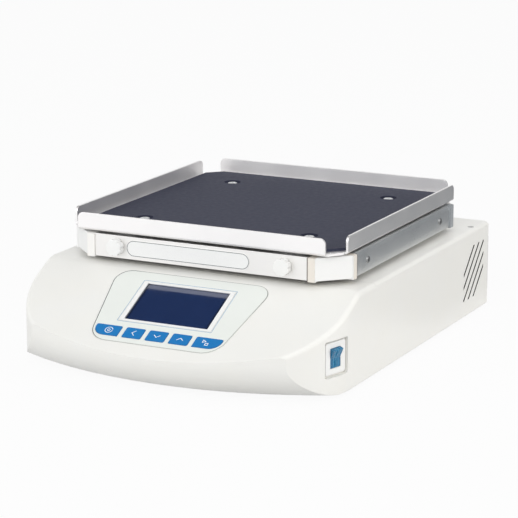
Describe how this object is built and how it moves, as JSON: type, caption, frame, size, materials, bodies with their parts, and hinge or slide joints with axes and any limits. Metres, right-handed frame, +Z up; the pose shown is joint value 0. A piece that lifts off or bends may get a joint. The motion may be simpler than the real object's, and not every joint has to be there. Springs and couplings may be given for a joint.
{
  "type": "reciprocating laboratory shaker",
  "caption": "Bench shaker: low white housing with sloping control panel, travelling carriage frame and open metal tray with a dark rubber mat, driven back and forth by a crank.",
  "frame": {"origin": "on the resting surface, under the middle of the housing", "axes": "+X to the operator's right and along the carriage's travel, +Y from the control panel to the rear, +Z up"},
  "size_m": [0.298, 0.4032, 0.123],
  "materials": {
    "housing": "fine satin moulding",
    "white_plastic": "satin",
    "black_plastic": "satin",
    "base_sheet": "satin",
    "rubber": "matt",
    "mat_rubber": "fine matt grain",
    "screw_steel": "turned",
    "shaft_steel": "ground",
    "tray_sheet": "satin sheet",
    "rail_metal": "satin anodised",
    "machined_aluminium": "machined",
    "overlay_film": "satin film",
    "label_film": "satin film",
    "display_face": "glossy",
    "circuit_board": "satin",
    "key_blue": "satin",
    "rocker_plastic": "glossy"
  },
  "bodies": {
    "base": {"front_housing": "housing", "top_cover": "housing", "base_plate": "base_sheet", "rubber_feet": "rubber", "rear_panel": "base_sheet", "power_inlet": "black_plastic", "housing_screws": "screw_steel", "control_overlay": "overlay_film", "display_bezel": "white_plastic", "display_module": "display_face", "display_board": "circuit_board", "control_board": "circuit_board", "board_standoffs": "screw_steel", "power_supply": "machined_aluminium", "switch_frame": "white_plastic", "front_guide_rod": "shaft_steel", "rear_guide_rod": "shaft_steel", "left_rod_support": "machined_aluminium", "right_rod_support": "machined_aluminium", "spindle_housing": "machined_aluminium", "spindle_bearings": "shaft_steel", "drive_belt": "rubber", "motor_plate": "base_sheet", "motor": "black_plastic"},
    "carriage": {"front_beam": "rail_metal", "rear_beam": "rail_metal", "left_rail": "rail_metal", "right_rail": "rail_metal", "corner_front_left": "white_plastic", "corner_front_right": "white_plastic", "corner_rear_left": "white_plastic", "corner_rear_right": "white_plastic", "left_support_bar": "machined_aluminium", "right_support_bar": "machined_aluminium", "label_plate": "label_film", "tray": "tray_sheet", "tray_mat": "mat_rubber", "carriage_screws": "screw_steel", "carriage_posts": "shaft_steel", "front_slider": "machined_aluminium", "rear_slider": "machined_aluminium", "linear_bushings": "shaft_steel", "slider_bridge": "machined_aluminium", "wrist_pin": "shaft_steel"},
    "crank": {"crank_spindle": "shaft_steel", "driven_pulley": "machined_aluminium", "crank_disc": "shaft_steel"},
    "motor_rotor": {"motor_shaft": "shaft_steel", "motor_pulley": "machined_aluminium"},
    "connecting_rod_unit": {"connecting_rod": "machined_aluminium", "crank_pin_bearing": "shaft_steel", "crank_pin": "shaft_steel"},
    "power_rocker": {"rocker": "rocker_plastic"},
    "left_thumb_knob": {"left_knob": "white_plastic"},
    "right_thumb_knob": {"right_knob": "white_plastic"},
    "key_1_unit": {"key_1": "key_blue"},
    "key_2_unit": {"key_2": "key_blue"},
    "key_3_unit": {"key_3": "key_blue"},
    "key_4_unit": {"key_4": "key_blue"},
    "key_5_unit": {"key_5": "key_blue"}
  },
  "joints": [
    {"name": "carriage_slide", "type": "slide", "parent": "base", "child": "carriage", "axis": [1, 0, 0], "range_m": [-0.00916, 0.01084]},
    {"name": "crank_turn", "type": "hinge", "parent": "base", "child": "crank", "pos_m": [-0.035, 0.0335, 0.045], "axis": [0, 0, 1], "continuous": true},
    {"name": "motor_turn", "type": "hinge", "parent": "base", "child": "motor_rotor", "pos_m": [-0.035, 0.1385, 0.036], "axis": [0, 0, 1], "continuous": true},
    {"name": "rod_swing", "type": "hinge", "parent": "carriage", "child": "connecting_rod_unit", "pos_m": [0.02416, 0.0335, 0.054], "axis": [0, 0, 1], "range_deg": [0, 19.19]},
    {"name": "rocker_tilt", "type": "hinge", "parent": "base", "child": "power_rocker", "pos_m": [0.1427, -0.13625, 0.0344], "axis": [0.2588, 0.9659, 0], "range_deg": [-24, 0]},
    {"name": "left_knob_turn", "type": "hinge", "parent": "carriage", "child": "left_thumb_knob", "pos_m": [-0.08, -0.105, 0.0959], "axis": [0, 1, 0], "continuous": true},
    {"name": "right_knob_turn", "type": "hinge", "parent": "carriage", "child": "right_thumb_knob", "pos_m": [0.08, -0.105, 0.0959], "axis": [0, 1, 0], "continuous": true},
    {"name": "key_1_press", "type": "slide", "parent": "base", "child": "key_1_unit", "axis": [0, 0.4384, -0.8988], "range_m": [0, 0.0004], "stiffness_N_per_m": 800},
    {"name": "key_2_press", "type": "slide", "parent": "base", "child": "key_2_unit", "axis": [0, 0.4384, -0.8988], "range_m": [0, 0.0004], "stiffness_N_per_m": 800},
    {"name": "key_3_press", "type": "slide", "parent": "base", "child": "key_3_unit", "axis": [0, 0.4384, -0.8988], "range_m": [0, 0.0004], "stiffness_N_per_m": 800},
    {"name": "key_4_press", "type": "slide", "parent": "base", "child": "key_4_unit", "axis": [0, 0.4384, -0.8988], "range_m": [0, 0.0004], "stiffness_N_per_m": 800},
    {"name": "key_5_press", "type": "slide", "parent": "base", "child": "key_5_unit", "axis": [0, 0.4384, -0.8988], "range_m": [0, 0.0004], "stiffness_N_per_m": 800}
  ],
  "couplings": [
    {"joint": "motor_turn", "follows": "crank_turn", "ratio": 3.7907}
  ]
}
